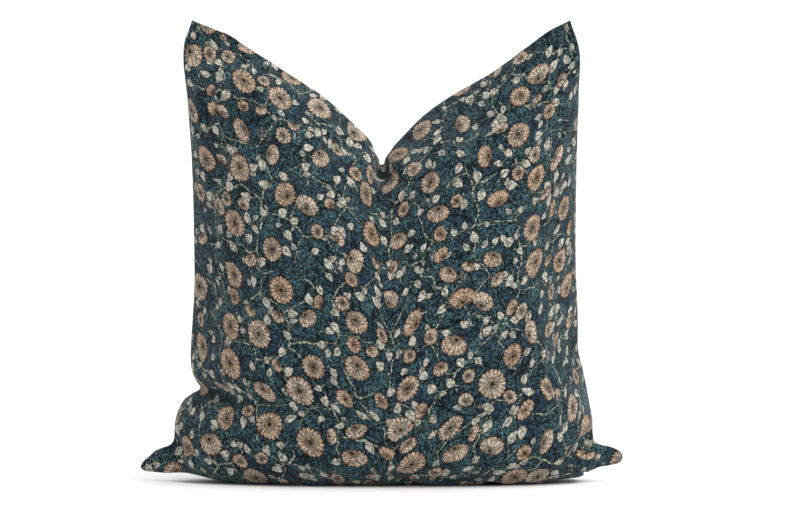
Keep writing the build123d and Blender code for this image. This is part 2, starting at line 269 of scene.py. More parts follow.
def closed_form(front, back):
    """Closed mesh of both faces, with one row of vertices along the seam, and each face's vertices."""
    rows, columns = front.shape[:2]
    front_index = np.arange(rows * columns).reshape(rows, columns)
    inside = np.zeros((rows, columns), dtype=bool)
    inside[1:-1, 1:-1] = True
    back_index = front_index.copy()
    back_index[inside] = rows * columns + np.arange(inside.sum())
    points = np.concatenate([front.reshape(-1, 3), back[inside]])
    faces = []
    for index, step in ((front_index, 1), (back_index, -1)):
        quads = np.stack([index[:-1, :-1], index[:-1, 1:], index[1:, 1:], index[1:, :-1]], axis=-1)
        faces += quads.reshape(-1, 4)[:, ::step].tolist()
    mesh = bpy.data.meshes.new("cover_form")
    mesh.from_pydata(points.tolist(), [], faces)
    return mesh, front_index, back_index


def stuffed(front, back):
    """Both faces after the cover is filled: a pressure cloth simulation held at the seam."""
    mesh, front_index, back_index = closed_form(front, back)
    form = bpy.data.objects.new("cover_form", mesh)
    bpy.context.collection.objects.link(form)
    start = np.concatenate([front.reshape(-1, 3), back[1:-1, 1:-1].reshape(-1, 3)])
    pin = form.vertex_groups.new(name="pin")
    border = np.ones(front_index.shape, dtype=bool)
    border[1:-1, 1:-1] = False
    pin.add(front_index[border].tolist(), 1.0, "REPLACE")
    cloth = form.modifiers.new("cloth", "CLOTH")
    settings = cloth.settings
    settings.quality = 5
    settings.mass = 0.3
    settings.tension_stiffness = 20
    settings.compression_stiffness = 4
    settings.shear_stiffness = 4
    settings.bending_stiffness = 0.3
    settings.shrink_min = -FABRIC_EASE
    settings.vertex_group_mass = "pin"
    settings.pin_stiffness = 1
    settings.use_pressure = True
    settings.uniform_pressure_force = PRESSURE
    settings.effector_weights.gravity = 0
    cloth.collision_settings.use_collision = False
    cloth.point_cache.frame_start = 1
    cloth.point_cache.frame_end = SIM_FRAMES
    for number in range(1, SIM_FRAMES + 1):
        bpy.context.scene.frame_set(number)
    evaluated = form.evaluated_get(bpy.context.evaluated_depsgraph_get())
    points = np.empty(len(start) * 3)
    evaluated.data.vertices.foreach_get("co", points)
    bpy.data.objects.remove(form)
    bpy.context.scene.frame_set(1)
    move = points.reshape(-1, 3) - start
    from_fold = np.hypot(start[:, 1], start[:, 2] - BOTTOM_SEAM)
    move *= smooth_step(FOLD_STILL, FOLD_FREE, from_fold)[:, None]
    size = np.linalg.norm(move, axis=1, keepdims=True)
    capped = MOVE_CAP * np.tanh(size / MOVE_CAP)
    points = start + move * capped / np.maximum(size, 1e-9)
    points[:, 2] = np.maximum(points[:, 2], FLOOR_GAP)
    return points[front_index], points[back_index]


def cloth_places(points):
    """Where each grid point lies on the flat cloth, in millimetres from its middle."""
    middle = points.shape[0] // 2
    step_across = np.linalg.norm(np.diff(points, axis=1), axis=2)
    across = np.concatenate([np.zeros((points.shape[0], 1)), np.cumsum(step_across, axis=1)], axis=1)
    across -= across[:, middle : middle + 1]
    step_up = np.linalg.norm(np.diff(points, axis=0), axis=2)
    up = np.concatenate([np.zeros((1, points.shape[1])), np.cumsum(step_up, axis=0)], axis=0)
    up -= up[middle : middle + 1, :]
    return np.stack([across, up], axis=-1) / MM


def seam_distances(places):
    """Distance of each grid point from the seam along the cloth, in millimetres."""
    return np.minimum.reduce([
        places[:, :, 0] - places[:, :1, 0],
        places[:, -1:, 0] - places[:, :, 0],
        places[:, :, 1] - places[:1, :, 1],
        places[-1:, :, 1] - places[:, :, 1],
    ])


def outward(points):
    """Unit normals of a front face's grid, towards the outside."""
    normal = np.cross(np.gradient(points, axis=1), np.gradient(points, axis=0))
    return normal / np.maximum(np.linalg.norm(normal, axis=2, keepdims=True), 1e-12)


def nearest_on(points, line):
    """Distance of each grid point from a line in the seam's plane, and how far along the line it is."""
    flat = points[..., [0, 2]]
    best = np.full(flat.shape[:2], np.inf)
    along = np.zeros(flat.shape[:2])
    count = len(line) - 1
    for k in range(count):
        start, run = line[k], line[k + 1] - line[k]
        part = np.clip(((flat - start) @ run) / (run @ run), 0, 1)
        gap = np.linalg.norm(flat - (start + part[..., None] * run), axis=2)
        closer = gap < best
        best = np.where(closer, gap, best)
        along = np.where(closer, (k + part) / count, along)
    return best, along


def creased(points):
    """Front face with the creases pressed into it, each deepest at its start."""
    scale = np.array([HALF_WIDTH, HEIGHT])
    from_seam = seam_distances(cloth_places(points)) * MM
    clear = smooth_step(0, CREASE_FADE, from_seam)
    for depth, width, line in CREASES:
        gap, along = nearest_on(points, curve_through(np.array(line) * scale, np.linspace(0, 1, 9)))
        valley = hill(gap, 0, width) - 0.35 * hill(gap, 2.2 * width, width)
        push = depth * valley * (1 - along**2) * clear
        push = np.minimum(push, 0.6 * np.abs(points[..., 1]))
        points = points - outward(points) * push[..., None]
    return points


def with_lip(points, side):
    """Face whose edge turns in at the seam, as a folded edge does. side is -1 in front and 1 behind."""
    inner = points[1:-1, 1:-1]
    ring = np.pad(inner, ((1, 1), (1, 1), (0, 0)), mode="edge")
    inward = ring - points
    inward /= np.maximum(np.linalg.norm(inward, axis=2, keepdims=True), 1e-9)
    border = np.ones(points.shape[:2], dtype=bool)
    border[1:-1, 1:-1] = False
    zip_row = np.zeros(points.shape[:2])
    zip_row[0] = 1
    along_zip = np.where(np.abs(points[..., 0]) < ZIP_REACH, SLIT, EDGE_ROUND)
    half_gap = along_zip * zip_row + EDGE_ROUND * (1 - zip_row)
    lip = points + inward * LIP
    lip[..., 1] = side * (half_gap - 0.5 * EDGE_ROUND)
    edge = points.copy()
    edge[..., 1] = np.where(border, side * half_gap, points[..., 1])
    wide = np.pad(edge, ((1, 1), (1, 1), (0, 0)), mode="edge")
    rim = np.pad(lip, ((1, 1), (1, 1), (0, 0)), mode="edge")
    outer = np.ones(wide.shape[:2], dtype=bool)
    outer[1:-1, 1:-1] = False
    return np.where(outer[..., None], rim, wide)


def link(piece, body, slot, *materials):
    """Put a new object in the scene, on its body."""
    if piece.name not in bpy.context.scene.objects:
        bpy.context.collection.objects.link(piece)
    for material in materials:
        piece.data.materials.append(material)
    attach(piece, body)
    return piece


def sheet_object(name, points, flip, material, slot, thickness, places=None):
    """Smooth sheet over a grid of points, with its thickness on the inside."""
    mesh = grid_mesh(name, points)
    places = cloth_places(points) if places is None else places
    corner = np.empty(len(mesh.loops), dtype=int)
    mesh.loops.foreach_get("vertex_index", corner)
    layer = mesh.uv_layers.new(name="cloth")
    layer.data.foreach_set("uv", places.reshape(-1, 2)[corner].ravel())
    attribute = mesh.attributes.new("seam_mm", "FLOAT", "POINT")
    attribute.data.foreach_set("value", seam_distances(places).ravel())
    if flip:
        mesh.flip_normals()
    mesh.polygons.foreach_set("use_smooth", [True] * len(mesh.polygons))
    piece = bpy.data.objects.new(name, mesh)
    smooth = piece.modifiers.new("smooth", "SUBSURF")
    smooth.levels = 1
    smooth.render_levels = 1
    shell = piece.modifiers.new("thickness", "SOLIDIFY")
    shell.thickness = thickness
    shell.offset = -1
    return link(piece, "pillow", slot, material)


def inner_face(points, smooth, seam_inset, gap, step):
    """Front face of a cushion inside the cover: its seam stays clear of the cover's, and of the zip."""
    distance = seam_distances(cloth_places(points))
    rows = np.flatnonzero(distance[:, CELLS // 2] >= seam_inset / MM)
    columns = np.flatnonzero(distance[CELLS // 2, :] >= seam_inset / MM)
    pick_rows = np.unique(np.concatenate([rows[::step], rows[-1:]]))
    pick_columns = np.unique(np.concatenate([columns[::step], columns[-1:]]))
    inner = points - outward(smooth) * gap
    inner[..., 1] = -np.clip(-inner[..., 1], 0, 0.82 * np.abs(points[..., 1]))
    reach = np.abs(inner[..., 0])
    ear = INSERT_EAR * HALF_WIDTH
    held = ear + INSERT_SQUEEZE * np.tanh((reach - ear) / INSERT_SQUEEZE)
    inner[..., 0] = np.sign(inner[..., 0]) * np.where(reach > ear, held, reach)
    inner = inner[np.ix_(pick_rows, pick_columns)]
    from_edge = seam_distances(cloth_places(inner)) * MM
    full = np.sqrt(1 - (1 - np.clip(from_edge / INNER_ROUNDING, 0, 1)) ** 2)
    inner[..., 1] *= full
    low = inner[:1, :, 2]
    climbed = np.cumsum(np.linalg.norm(np.diff(inner, axis=0, prepend=inner[:1]), axis=2), axis=0)
    near_bottom = 1 - smooth_step(0, 90 * MM, climbed)
    inner[..., 2] += (1 - full) * near_bottom * np.maximum(ZIP_CLEAR - low, 0)
    return inner


def cushion_inside(name, points, material, slot):
    """Closed inner cushion of two faces that meet at its seam."""
    mesh = closed_form(points, points * MIRROR)[0]
    mesh.name = name
    mesh.polygons.foreach_set("use_smooth", [True] * len(mesh.polygons))
    piece = bpy.data.objects.new(name, mesh)
    return link(piece, "pillow", slot, material)


def border_loop(points):
    """The points of a grid's border, once round."""
    return np.concatenate([points[0], points[1:, -1], points[-1, -2::-1], points[-2:0:-1, 0]])


def inset_loop(points, inset):
    """Loop in the seam's plane, set in from the cover's seam by a distance."""
    loop = border_loop(points)[:, [0, 2]]
    ahead = np.roll(loop, -2, axis=0) - np.roll(loop, 2, axis=0)
    inward = np.stack([-ahead[:, 1], ahead[:, 0]], axis=1)
    inward /= np.linalg.norm(inward, axis=1, keepdims=True)
    for _ in range(4):
        inward = (inward + np.roll(inward, 1, axis=0) + np.roll(inward, -1, axis=0)) / 3
    flat = loop + inward * inset
    return np.stack([flat[:, 0], np.zeros(len(flat)), flat[:, 1]], axis=1)


def even_points(loop, pitch, closed=True):
    """Points at an even pitch along a loop."""
    line = np.vstack([loop, loop[:1]]) if closed else loop
    length = np.concatenate([[0], np.cumsum(np.linalg.norm(np.diff(line, axis=0), axis=1))])
    amounts = np.linspace(0, length[-1], int(length[-1] / pitch), endpoint=False)
    return np.stack([np.interp(amounts, length, line[:, k]) for k in range(3)], axis=1)


def thread_object(name, runs, radius, material, slot="thread"):
    """Rounded thread along one or more runs of points."""
    curve = bpy.data.curves.new(name, "CURVE")
    curve.dimensions = "3D"
    curve.bevel_depth = radius
    curve.bevel_resolution = 1
    curve.use_fill_caps = True
    for run in runs:
        spline = curve.splines.new("POLY")
        spline.points.add(len(run) - 1)
        spline.points.foreach_set("co", np.c_[run, np.ones(len(run))].ravel())
    piece = bpy.data.objects.new(name, curve)
    return link(piece, "pillow", slot, material)


def stitches(loop, pitch):
    """Short runs of thread along a loop, each bowed a little, with gaps between."""
    line = even_points(loop, pitch)
    ahead = np.roll(line, -1, axis=0)
    keep = [k for k in range(len(line)) if not in_zip(line[k])]
    runs = []
    for k in keep:
        start, end = line[k], line[k] + (ahead[k] - line[k]) * STITCH_SHARE
        runs.append(np.array([start, (start + end) / 2 + np.array([0, -STITCH_BOW, 0]), end]))
    return runs


def in_zip(point):
    """Whether a point lies in the zip's opening."""
    return abs(point[0]) < ZIP_REACH and point[2] < ZIP_CLEAR


class Signal:
    """A number in a shader, so that a pattern is written as a formula."""

    def __init__(self, tree, socket):
        self.tree = tree
        self.socket = socket

    def math(self, operation, *others, clamp=False):
        node = self.tree.nodes.new("ShaderNodeMath")
        node.operation = operation
        node.use_clamp = clamp
        for place, item in enumerate((self, *others)):
            feed(self.tree, node.inputs[place], item)
        return Signal(self.tree, node.outputs[0])

    def __add__(self, other):
        return self.math("ADD", other)

    __radd__ = __add__

    def __sub__(self, other):
        return self.math("SUBTRACT", other)

    def __rsub__(self, other):
        return (self * -1) + other

    def __mul__(self, other):
        return self.math("MULTIPLY", other)

    __rmul__ = __mul__

    def __truediv__(self, other):
        return self.math("DIVIDE", other)

    def size(self):
        return self.math("ABSOLUTE")

    def sine(self):
        return self.math("SINE")

    def whole(self):
        return self.math("FLOOR")

    def least(self, other):
        return self.math("MINIMUM", other)

    def most(self, other):
        return self.math("MAXIMUM", other)

    def below(self, limit, blur):
        """1 where the number is under a limit, 0 above it, blurred between."""
        return ((limit - self) / blur + 0.5).math("MULTIPLY", 1, clamp=True)

    def above(self, limit, blur):
        """1 where the number is over a limit."""
        return ((self - limit) / blur + 0.5).math("MULTIPLY", 1, clamp=True)


def feed(tree, socket, item):
    """Link a signal or socket to an input, or set its value."""
    if isinstance(item, Signal):
        tree.links.new(item.socket, socket)
    elif isinstance(item, bpy.types.NodeSocket):
        tree.links.new(item, socket)
    else:
        socket.default_value = item


def length(x, y):
    """Distance from the origin."""
    return (x * x + y * y).math("SQRT")


def vector(tree, x, y, z=0.0):
    """Vector from three numbers."""
    node = tree.nodes.new("ShaderNodeCombineXYZ")
    for socket, item in zip(node.inputs, (x, y, z)):
        feed(tree, socket, item)
    return node.outputs[0]


def parts(tree, socket):
    """X and Y of a vector."""
    node = tree.nodes.new("ShaderNodeSeparateXYZ")
    tree.links.new(socket, node.inputs[0])
    return Signal(tree, node.outputs[0]), Signal(tree, node.outputs[1])


def noise(tree, place, size, detail=1.0):
    """Smooth noise, 0 to 1, with features of a size."""
    node = tree.nodes.new("ShaderNodeTexNoise")
    node.noise_dimensions = "3D"
    feed(tree, node.inputs["Vector"], place)
    node.inputs["Scale"].default_value = 1 / size
    node.inputs["Detail"].default_value = detail
    return Signal(tree, node.outputs["Factor" if "Factor" in node.outputs else "Fac"])


def speckle(tree, place):
    """Random number for each whole place."""
    node = tree.nodes.new("ShaderNodeTexWhiteNoise")
    node.noise_dimensions = "2D"
    feed(tree, node.inputs["Vector"], place)
    return Signal(tree, node.outputs["Value"])


def blend(tree, amount, below_colour, above_colour):
    """Colour above laid over the colour below."""
    node = tree.nodes.new("ShaderNodeMix")
    node.data_type = "RGBA"
    feed(tree, node.inputs["Factor"], amount)
    feed(tree, node.inputs[6], below_colour)
    feed(tree, node.inputs[7], above_colour)
    return node.outputs[2]


class Scatter:
    """Random places about one spacing apart, and the place of this point beside the nearest one."""

    def __init__(self, tree, x, y, spacing, shift, loose):
        node = tree.nodes.new("ShaderNodeTexVoronoi")
        node.voronoi_dimensions = "2D"
        node.inputs["Scale"].default_value = 1 / spacing
        node.inputs["Randomness"].default_value = loose
        shifted_x = x + shift[0]
        shifted_y = y + shift[1]
        tree.links.new(vector(tree, shifted_x, shifted_y), node.inputs["Vector"])
        centre_x, centre_y = parts(tree, node.outputs["Position"])
        self.centre = (centre_x - shift[0], centre_y - shift[1])
        self.x = shifted_x - centre_x
        self.y = shifted_y - centre_y
        split = tree.nodes.new("ShaderNodeSeparateColor")
        tree.links.new(node.outputs["Color"], split.inputs[0])
        self.chance = [Signal(tree, output) for output in split.outputs]
        self.distance = Signal(tree, node.outputs["Distance"]) * spacing

    def turned(self):
        """This point beside the nearest place, turned at random."""
        angle = self.chance[0] * (2 * math.pi)
        cosine = (angle + math.pi / 2).sine()
        sine = angle.sine()
        return self.x * cosine - self.y * sine, self.x * sine + self.y * cosine


def flower(x, y, radius, petals, tilt):
    """Layers of a daisy head: body, petal lines, centre, outline, halo and how near the rim it is."""
    y = y / (1 - 0.35 * tilt)
    r = length(x, y)
    turn = y.math("ARCTAN2", x)
    edge = radius * (0.88 + 0.12 * (turn * (petals / 2)).sine().size())
    low = y + radius * tilt * 0.55
    reach = length(x, low)
    spoke = low.math("ARCTAN2", x) * (petals / 2)
    between = spoke.sine().size()
    outer_lines = (between * reach * (2 / petals)).below(0.34, 0.35)
    outer_lines = outer_lines * (reach / radius).above(0.3, 0.2)
    middle = (spoke + math.pi / 2).sine().size()
    inner_ring = radius * (0.5 + 0.1 * middle)
    inner_lines = (middle * reach * (2 / petals)).below(0.22, 0.3) * (reach - inner_ring).below(0, 0.5)
    ring = (reach - radius * 0.3).size().below(0.35, 0.5) * middle.above(0.5, 0.3)
    centre = (reach / radius).below(0.19, 0.08)
    body = (r - edge).below(0, 0.4)
    outline = (r - edge + 0.1).size().below(0.4, 0.5)
    halo = (r - edge).below(1.0, 0.9)
    lines = outer_lines.most(inner_lines).most(ring)
    rim = (r / radius).above(0.82, 0.25)
    return body, lines, centre, outline, halo, rim


def lay_flowers(tree, colour, scatter, radius, petals, present, patches):
    """Flowers laid over a colour."""
    x, y = scatter.turned()
    size = radius * (0.82 + 0.3 * scatter.chance[1])
    tilt = (scatter.chance[2] * 2.4 - 0.8).most(0).least(1)
    body, lines, centre, outline, halo, rim = flower(x, y, size, petals, tilt)
    petal = blend(tree, scatter.chance[0] * 0.7, PETAL_PALE, PETAL_PEACH)
    petal = blend(tree, rim * patches * 0.75, petal, PETAL_RIM)
    petal = blend(tree, centre * 0.85, petal, CENTRE_OLIVE)
    petal = blend(tree, lines * 0.9, petal, RUST)
    colour = blend(tree, halo * present * 0.8, colour, INK)
    colour = blend(tree, body * present, colour, petal)
    return blend(tree, outline * present * (0.3 + patches * 0.6), colour, RUST), body * present


def lay_buds(tree, colour, scatter, size, present, tint):
    """Buds, each on a short stem and with a curled line inside, laid over a colour."""
    x, y = scatter.turned()
    reach = size * (0.75 + 0.4 * scatter.chance[1])
    along = x / reach
    bend = y + along * along * reach * 0.2
    half = (1 - along * along) * reach * 0.62 * (1.05 - 0.35 * along)
    off = bend.size() - half
    body = off.below(0, 0.4)
    outline = off.size().below(0.3, 0.5)
    halo = off.below(0.9, 0.8)
    curl = (length(x - reach * 0.1, bend) - reach * 0.27).size().below(0.16, 0.3)
    curl = curl * (bend + x * 0.6).above(-0.5, 0.4)
    vein = bend.size().below(0.18, 0.3) * along.below(0.1, 0.2)
    calyx = along.below(-0.5, 0.2)
    stem = bend.size().below(0.4, 0.4) * (along + 1.45).size().below(0.6, 0.1)
    inside = blend(tree, calyx * 0.7, tint, LEAF_SAGE)
    inside = blend(tree, curl.most(vein) * 0.75, inside, RUST)
    colour = blend(tree, stem * present * 0.8, colour, LEAF_SAGE)
    colour = blend(tree, halo * present * 0.8, colour, INK)
    colour = blend(tree, body * present, colour, inside)
    return blend(tree, outline * present * 0.6, colour, INK), body * present


def vine_distance(tree, x, y, spacing, shift, sway):
    """Distance in millimetres from a wandering net of lines."""
    wander = vector(tree, x + shift[0], y + shift[1])
    sway_x = (noise(tree, wander, spacing * 0.45) - 0.5) * sway
    sway_y = (noise(tree, vector(tree, x + shift[1], y - shift[0]), spacing * 0.45) - 0.5) * sway
    node = tree.nodes.new("ShaderNodeTexVoronoi")
    node.voronoi_dimensions = "2D"
    node.feature = "DISTANCE_TO_EDGE"
    node.inputs["Scale"].default_value = 1 / spacing
    node.inputs["Randomness"].default_value = 0.9
    tree.links.new(vector(tree, x + shift[0] + sway_x, y + shift[1] + sway_y), node.inputs["Vector"])
    return Signal(tree, node.outputs["Distance"]) * spacing


def scroll_distance(tree, x, y):
    """Distance in millimetres from the nearest turn of the spirals that curl between the flowers."""
    scroll = Scatter(tree, x, y, SCROLL_SPACING, (250.0, 140.0), 0.6)
    across, up = scroll.turned()
    r = length(across, up)
    turn = up.math("ARCTAN2", across) / (2 * math.pi)
    phase = (r / SCROLL_PITCH - turn + 4).math("FRACT") - 0.5
    return phase.size() * SCROLL_PITCH, r.below(SCROLL_SPACING * 0.48, 1.0)


def floral_print(tree, x, y):
    """Colour of the block print at a place on the cloth, and where its flowers and buds are."""
    flat = vector(tree, x, y)
    mottle = noise(tree, flat, 26.0, 3.0)
    colour = blend(tree, mottle.above(0.53, 0.3), GROUND_TEAL, GROUND_NAVY)
    ragged = 1.5
    px = x + (noise(tree, flat, 1.5) - 0.5) * ragged
    py = y + (noise(tree, vector(tree, y, x), 1.5) - 0.5) * ragged
    patches = noise(tree, flat, 9.0, 2.0).above(0.5, 0.3)

    flecks = Scatter(tree, px, py, 8.0, (30.0, 710.0), 1.0)
    fleck_x, fleck_y = flecks.turned()
    fleck = (fleck_x.size() * 0.35 + fleck_y.size()).below(0.45, 0.5) * flecks.chance[1].above(0.5, 0.01)
    colour = blend(tree, fleck * 0.45, colour, LEAF_SAGE)

    curl, near = scroll_distance(tree, px, py)
    colour = blend(tree, curl.below(0.8, 0.6) * near * 0.95, colour, INK)
    dark = vine_distance(tree, px, py, 58.0, (400.0, 230.0), 40.0)
    colour = blend(tree, dark.below(0.6, 0.6) * 0.85, colour, INK)
    broken = noise(tree, flat, 30.0).above(0.4, 0.1)
    pale = vine_distance(tree, px, py, FLOWER_SPACING, (0.0, 0.0), 20.0)
    colour = blend(tree, pale.below(1.5, 0.9) * broken * 0.75, colour, INK)
    colour = blend(tree, (pale - 0.4).size().below(0.35, 0.5) * broken, colour, LEAF_SAGE)

    big = Scatter(tree, px, py, FLOWER_SPACING, (0.0, 0.0), 0.65)
    small = Scatter(tree, px, py, SMALL_FLOWER_SPACING, (170.0, 90.0), 0.8)
    near_big = Scatter(tree, *small.centre, FLOWER_SPACING, (0.0, 0.0), 0.65).distance
    small_here = near_big.above(FLOWER_RADIUS + SMALL_FLOWER_RADIUS * 0.9, 0.1)
    motif = fleck * 0
    for spacing, shift, size, tint in BUDS:
        bud = Scatter(tree, px, py, spacing, shift, 0.75)
        clear = Scatter(tree, *bud.centre, FLOWER_SPACING, (0.0, 0.0), 0.65).distance
        clear = clear.above(FLOWER_RADIUS + 2.5, 0.1)
        clear_small = Scatter(tree, *bud.centre, SMALL_FLOWER_SPACING, (170.0, 90.0), 0.8).distance
        clear = clear * clear_small.above(SMALL_FLOWER_RADIUS * 0.9, 0.1)
        present = clear * bud.chance[2].above(0.1, 0.01)
        colour, body = lay_buds(tree, colour, bud, size, present, tint)
        motif = motif.most(body)
    colour, body = lay_flowers(tree, colour, small, SMALL_FLOWER_RADIUS, 12, small_here, patches)
    motif = motif.most(body)
    present = big.chance[1].above(0.06, 0.01)
    colour, body = lay_flowers(tree, colour, big, FLOWER_RADIUS, 18, present, patches)
    return colour, motif.most(body)


def woven(tree, x, y, pitch):
    """Height of a plain weave, 0 to 1, and a random tone for each crossing of two threads."""
    warp = x / pitch
    weft = y / pitch
    over = ((warp.whole() + weft.whole()) * 0.5).math("FRACT") * 2
    warp_round = (warp * math.pi).sine().size()
    weft_round = (weft * math.pi).sine().size()
    height = warp_round * over + weft_round * (1 - over)
    tone = speckle(tree, vector(tree, warp.whole(), weft.whole()))
    return height, tone


def scaled(tree, colour, factor):
    """Colour times a number."""
    node = tree.nodes.new("ShaderNodeVectorMath")
    node.operation = "SCALE"
    feed(tree, node.inputs[0], colour[:3] if isinstance(colour, tuple) else colour)
    feed(tree, node.inputs["Scale"], factor)
    return node.outputs[0]


def new_material(name, roughness, sheen=0.0, metallic=0.0):
    """Material with fixed finish values, its tree and its shader."""
    material = bpy.data.materials.new(name)
    material.use_nodes = True
    shader = material.node_tree.nodes["Principled BSDF"]
    shader.inputs["Roughness"].default_value = roughness
    shader.inputs["Specular IOR Level"].default_value = 0.5 if metallic else 0.12
    shader.inputs["Sheen Weight"].default_value = sheen
    shader.inputs["Sheen Roughness"].default_value = 0.5
    shader.inputs["Metallic"].default_value = metallic
    return material, material.node_tree, shader


def raise_bump(tree, shader, height, distance, strength=0.6):
    """Bump from a height, 0 to 1, that stands a distance proud."""
    bump = tree.nodes.new("ShaderNodeBump")
    bump.inputs["Strength"].default_value = strength
    bump.inputs["Distance"].default_value = distance
    feed(tree, bump.inputs["Height"], height)
    tree.links.new(bump.outputs[0], shader.inputs["Normal"])


def cloth_place(tree):
    """X and Y on the flat cloth, in millimetres."""
    place = tree.nodes.new("ShaderNodeUVMap")
    place.uv_map = "cloth"
    return parts(tree, place.outputs[0])


def object_place(tree):
    """X, Y and Z in the object's own frame, in millimetres."""
    place = tree.nodes.new("ShaderNodeTexCoord")
    split = tree.nodes.new("ShaderNodeSeparateXYZ")
    tree.links.new(place.outputs["Object"], split.inputs[0])
    return [Signal(tree, output) / MM for output in split.outputs]


def printed_linen():
    """Coarse linen with the floral print, pulled in along the seams."""
    material, tree, shader = new_material("printed_linen", 0.9, sheen=0.12)
    x, y = cloth_place(tree)
    colour, motif = floral_print(tree, x, y)
    height, tone = woven(tree, x, y, THREAD_PITCH)
    slub = noise(tree, vector(tree, x / 3, y), 0.7, 1.0)
    grain = tone * 0.8 + slub * 0.4
    on_ground = grain * grain * 1.65
    on_motif = 0.02 + grain * 0.88
    colour = scaled(tree, colour, on_ground + (on_motif - on_ground) * motif)
    # Painted shade: the low parts of the weave, between the threads, are darkened towards ink, less so on the
    # flowers and buds.
    colour = blend(tree, (1 - height).above(0.6, 0.4) * (0.55 - motif * 0.3), colour, INK)
    seam = tree.nodes.new("ShaderNodeAttribute")
    seam.attribute_name = "seam_mm"
    from_seam = Signal(tree, seam.outputs["Fac"])
    pucker = noise(tree, vector(tree, x, y), 5.0, 1.0) * from_seam.below(12, 14)
    # Painted shade: within about a millimetre of the seam the cloth is darkened towards ink, as the seam's
    # groove would be in shade.
    tree.links.new(blend(tree, from_seam.below(0.9, 1.2) * 0.2, colour, INK), shader.inputs["Base Color"])
    raise_bump(tree, shader, height * 0.25 + tone * 0.15 + pucker * 1.5, 0.0012)
    return material


def plain_weave(name, coloured, pitch, sheen):
    """Undyed or dyed cloth in a plain weave, with slightly uneven threads."""
    material, tree, shader = new_material(name, 0.85, sheen=sheen)
    x, y = cloth_place(tree)
    height, tone = woven(tree, x, y, pitch)
    blotch = noise(tree, vector(tree, x, y), 40.0, 2.0)
    # Painted shading of the weave: the crowns of the threads are a little lighter. The thread tone and the
    # blotches are the cloth's own.
    colour = scaled(tree, coloured, 0.72 + tone * 0.2 + blotch * 0.16 + height * 0.1)
    tree.links.new(colour, shader.inputs["Base Color"])
    raise_bump(tree, shader, height, 0.0002)
    return material


def spun_thread():
    """Sewing thread with its twist."""
    material, tree, shader = new_material("spun_thread", 0.6, sheen=0.2)
    x, y, z = object_place(tree)
    twist = ((x + y + z) * 5.0).sine() * 0.5 + 0.5
    # Painted shading of the twist: lighter on the crowns of the strands, darker between them.
    tree.links.new(scaled(tree, dye(44, 66, 74), 0.7 + twist * 0.5), shader.inputs["Base Color"])
    raise_bump(tree, shader, twist, 0.0001)
    return material


def tape_weave():
    """Zip tape in a fine herringbone."""
    material, tree, shader = new_material("zip_tape_weave", 0.75, sheen=0.15)
    x, _, z = object_place(tree)
    column = (x / 3.0).math("FRACT") - 0.5
    rib = ((z + column.size() * 3.0) * 4.5).sine() * 0.5 + 0.5
    tone = noise(tree, vector(tree, x, z), 0.5, 1.0)
    # Painted shading of the herringbone: lighter on the ribs' crests, darker in their grooves. The tone is
    # the tape's own.
    tree.links.new(scaled(tree, dye(34, 52, 62), 0.6 + rib * 0.4 + tone * 0.3), shader.inputs["Base Color"])
    raise_bump(tree, shader, rib, 0.00015)
    return material


def coil_nylon():
    """Dark nylon of the zip's coil."""
    material, tree, shader = new_material("coil_nylon", 0.38)
    x, y, z = object_place(tree)
    wear = noise(tree, vector(tree, x, y, z), 3.0, 2.0)
    tree.links.new(scaled(tree, dye(38, 54, 64), 0.75 + wear * 0.5), shader.inputs["Base Color"])
    raise_bump(tree, shader, wear, 0.0001, 0.3)
    return material


def painted_metal():
    """Enamelled zinc of the slider, its paint a little worn."""
    material, tree, shader = new_material("painted_metal", 0.32, metallic=0.85)
    x, y, z = object_place(tree)
    place = vector(tree, x, y, z)
    worn = noise(tree, place, 1.2, 3.0).above(0.66, 0.1)
    colour = blend(tree, worn, dye(62, 74, 80), dye(150, 148, 140))
    tree.links.new(colour, shader.inputs["Base Color"])
    raise_bump(tree, shader, noise(tree, place, 0.4, 2.0), 0.00005, 0.4)
    return material


def fibre_fill():
    """Loose polyester fibre of the stuffing."""
    material, tree, shader = new_material("fibre_fill", 0.95, sheen=0.4)
    x, y, z = object_place(tree)
    clumps = noise(tree, vector(tree, x, y, z), 14.0, 4.0)
    tree.links.new(scaled(tree, dye(238, 236, 230), 0.7 + clumps * 0.5), shader.inputs["Base Color"])
    raise_bump(tree, shader, clumps, 0.003)
    return material


def label_satin():
    """Blank satin of the sewn-in labels, with its woven edge."""
    material, tree, shader = new_material("label_satin", 0.45, sheen=0.3)
    x, _ = cloth_place(tree)
    rib = (x * 6.0).sine() * 0.5 + 0.5
    # Painted shading of the ribs: lighter on their crests, darker between them.
    tree.links.new(scaled(tree, dye(236, 232, 222), 0.85 + rib * 0.15), shader.inputs["Base Color"])
    raise_bump(tree, shader, rib, 0.0001)
    return material


def split_runs(points):
    """Loop cut open at the zip."""
    keep = [k for k in range(len(points)) if not in_zip(points[k])]
    runs = np.split(np.array(keep), np.flatnonzero(np.diff(keep) > 1) + 1)
    return [points[run] for run in runs]


def label_grid(points, low, high, gap):
    """Part of a front face's grid inside a window of X and Z, moved inside the face by a gap."""
    inner = points - outward(points) * gap
    middle = points.shape[0] // 2
    inside_x = (inner[middle, :, 0] >= low[0]) & (inner[middle, :, 0] <= high[0])
    inside_z = (inner[:, middle, 2] >= low[2]) & (inner[:, middle, 2] <= high[2])
    return inner[np.ix_(np.flatnonzero(inside_z), np.flatnonzero(inside_x))]


def wound(low, high):
    """Helix that fills a coil's row from end to end."""
    turns = (high[0] - low[0]) / COIL_PITCH
    angle = np.linspace(0, 2 * math.pi * turns, int(turns * 12))
    across = (high[1] - low[1]) / 2 - COIL_WIRE
    up = (high[2] - low[2]) / 2 - COIL_WIRE
    return np.stack([
        np.linspace(low[0], high[0], len(angle)),
        (low[1] + high[1]) / 2 + across * np.cos(angle),
        (low[2] + high[2]) / 2 + up * np.sin(angle),
    ], axis=1)


